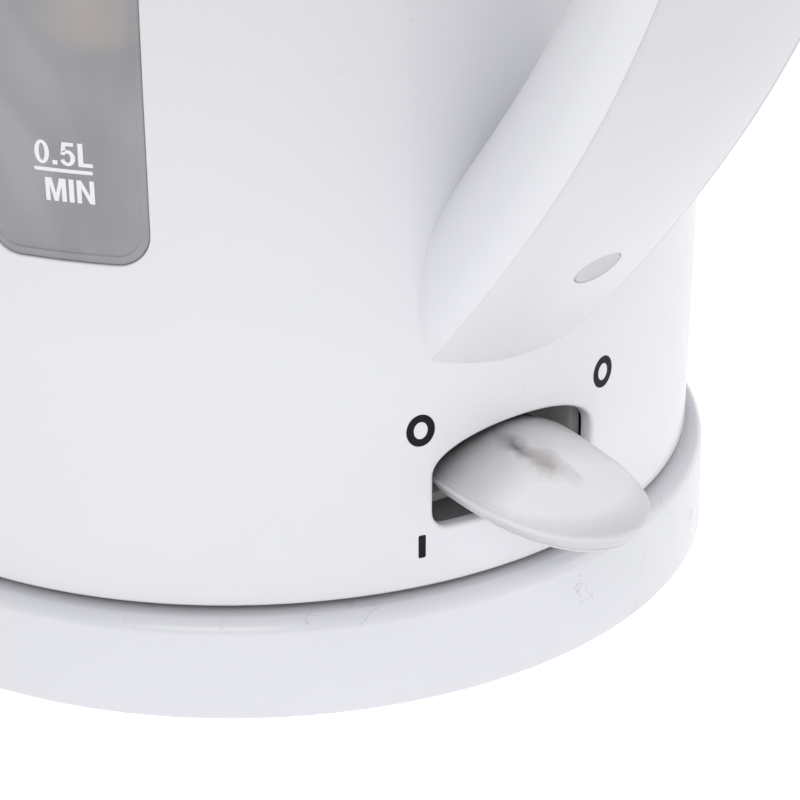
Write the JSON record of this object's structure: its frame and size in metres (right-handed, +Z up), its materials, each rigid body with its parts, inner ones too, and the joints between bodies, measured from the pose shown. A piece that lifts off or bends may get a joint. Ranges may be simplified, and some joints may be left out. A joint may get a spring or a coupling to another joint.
{
  "type": "electric kettle",
  "caption": "White electric kettle with a D-shaped handle, a translucent switch lever in an arched slot, tall water windows, a hinged lid and a round swivel power base.",
  "frame": {"origin": "on the jug's and the power base's common vertical axis, at the flat pad in the middle of the base's underside, 0.2 mm above the surface the kettle stands on", "axes": "+Z up along the jug's axis; +X from the axis towards the handle and the switch lever; -X towards the spout; the two water windows face about 54 degrees to each side of the handle"},
  "size_m": [0.2417, 0.16, 0.224],
  "materials": {
    "jug_white": "glossy moulded white plastic with a faint orange-peel",
    "base_white": "glossy moulded white plastic with fine hairline scuffs",
    "handle_white": "satin-gloss moulded white plastic",
    "cover_white": "satin-gloss moulded white plastic, a shade greyer",
    "lid_white": "glossy moulded white plastic",
    "button_white": "satin white plastic button",
    "inner_white": "fine-textured white plastic",
    "plug_grey": "satin pale grey plastic",
    "window_smoke": "polished translucent grey plastic",
    "lever_frost": "frosted translucent white plastic",
    "frame_ivory": "natural unpainted nylon",
    "black_plastic": "fine-textured black plastic",
    "rubber_feet": "soft grey rubber",
    "silicone_seal": "translucent silicone",
    "steel_brushed": "circular brushed stainless steel",
    "steel_bright": "bright zinc-plated steel",
    "aluminium_sheet": "pressed aluminium",
    "brass_contacts": "bright brass",
    "lamp_glass": "tinted lamp glass",
    "lead_live": "brown insulation",
    "lead_neutral": "blue insulation",
    "lead_earth": "green and yellow insulation",
    "print_black": "pad-printed black ink",
    "print_white": "pad-printed white ink"
  },
  "bodies": {
    "power_base": {"base_housing": "base_white", "base_cover": "base_white", "base_foot_1": "rubber_feet", "base_foot_2": "rubber_feet", "base_foot_3": "rubber_feet", "base_foot_4": "rubber_feet", "base_screw_1": "steel_bright", "base_screw_2": "steel_bright", "base_screw_3": "steel_bright", "base_connector": "black_plastic", "cord_gland": "black_plastic", "terminal_block": "black_plastic", "base_lead_live": "lead_live", "base_lead_neutral": "lead_neutral", "base_lead_earth": "lead_earth"},
    "swivel_cap": {"swivel_cap": "black_plastic"},
    "jug": {"jug_body": "jug_white", "window_front": "window_smoke", "window_back": "window_smoke", "jug_cover": "inner_white", "cover_screw_1": "steel_bright", "cover_screw_2": "steel_bright", "cover_screw_3": "steel_bright", "heater_plate": "steel_brushed", "plate_gasket": "silicone_seal", "heat_spreader": "aluminium_sheet", "heating_element": "steel_bright", "element_pin_1": "steel_bright", "element_pin_2": "steel_bright", "steam_tube": "inner_white", "control_body": "black_plastic", "earth_pin": "brass_contacts", "contact_ring_inner": "brass_contacts", "contact_ring_outer": "brass_contacts", "bimetal_disc_1": "steel_bright", "bimetal_disc_2": "steel_bright", "switch_frame": "frame_ivory", "lever_pin": "steel_bright", "handle_grip": "handle_white", "handle_cover": "cover_white", "screw_plug": "plug_grey", "handle_screw": "steel_bright", "button_spring": "steel_bright", "hinge_block": "inner_white", "lid_pin_1": "steel_bright", "lid_pin_2": "steel_bright", "filter_frame": "inner_white", "filter_mesh_1": "steel_brushed", "filter_mesh_2": "steel_brushed"},
    "switch_lever": {"switch_lever": "lever_frost", "indicator_lamp": "lamp_glass"},
    "trip_rocker": {"trip_rocker": "black_plastic"},
    "release_button": {"release_button": "button_white"},
    "latch_bar": {"latch_bar": "button_white"},
    "lid": {"lid_shell": "lid_white", "lid_insert": "inner_white", "lid_seal": "silicone_seal"}
  },
  "joints": [
    {"name": "swivel", "type": "hinge", "parent": "power_base", "child": "swivel_cap", "pos_m": [0, 0, 0.022], "axis": [0, 0, 1], "continuous": true},
    {"name": "lift_off", "type": "slide", "parent": "swivel_cap", "child": "jug", "axis": [0, 0, 1], "range_m": [0, 0.12]},
    {"name": "lid_hinge", "type": "hinge", "parent": "jug", "child": "lid", "pos_m": [0.062, 0, 0.203], "axis": [0, 1, 0], "range_deg": [0, 80]},
    {"name": "button_press", "type": "slide", "parent": "jug", "child": "release_button", "axis": [0, 0, -1], "range_m": [0, 0.004], "stiffness_N_per_m": 300, "springref_m": -0.002, "deforming": ["button_spring"]},
    {"name": "latch_slide", "type": "slide", "parent": "jug", "child": "latch_bar", "axis": [1, 0, 0], "range_m": [0, 0.005]},
    {"name": "switch_press", "type": "hinge", "parent": "jug", "child": "switch_lever", "pos_m": [0.058, 0, 0.0398], "axis": [0, 1, 0], "range_deg": [0, 9]},
    {"name": "trip", "type": "hinge", "parent": "jug", "child": "trip_rocker", "pos_m": [0.042, 0, 0.046], "axis": [0, 1, 0], "range_deg": [-7.2, 0]}
  ],
  "couplings": [
    {"joint": "latch_slide", "follows": "button_press", "ratio": 1.25},
    {"joint": "trip", "follows": "switch_press", "ratio": -0.8}
  ]
}
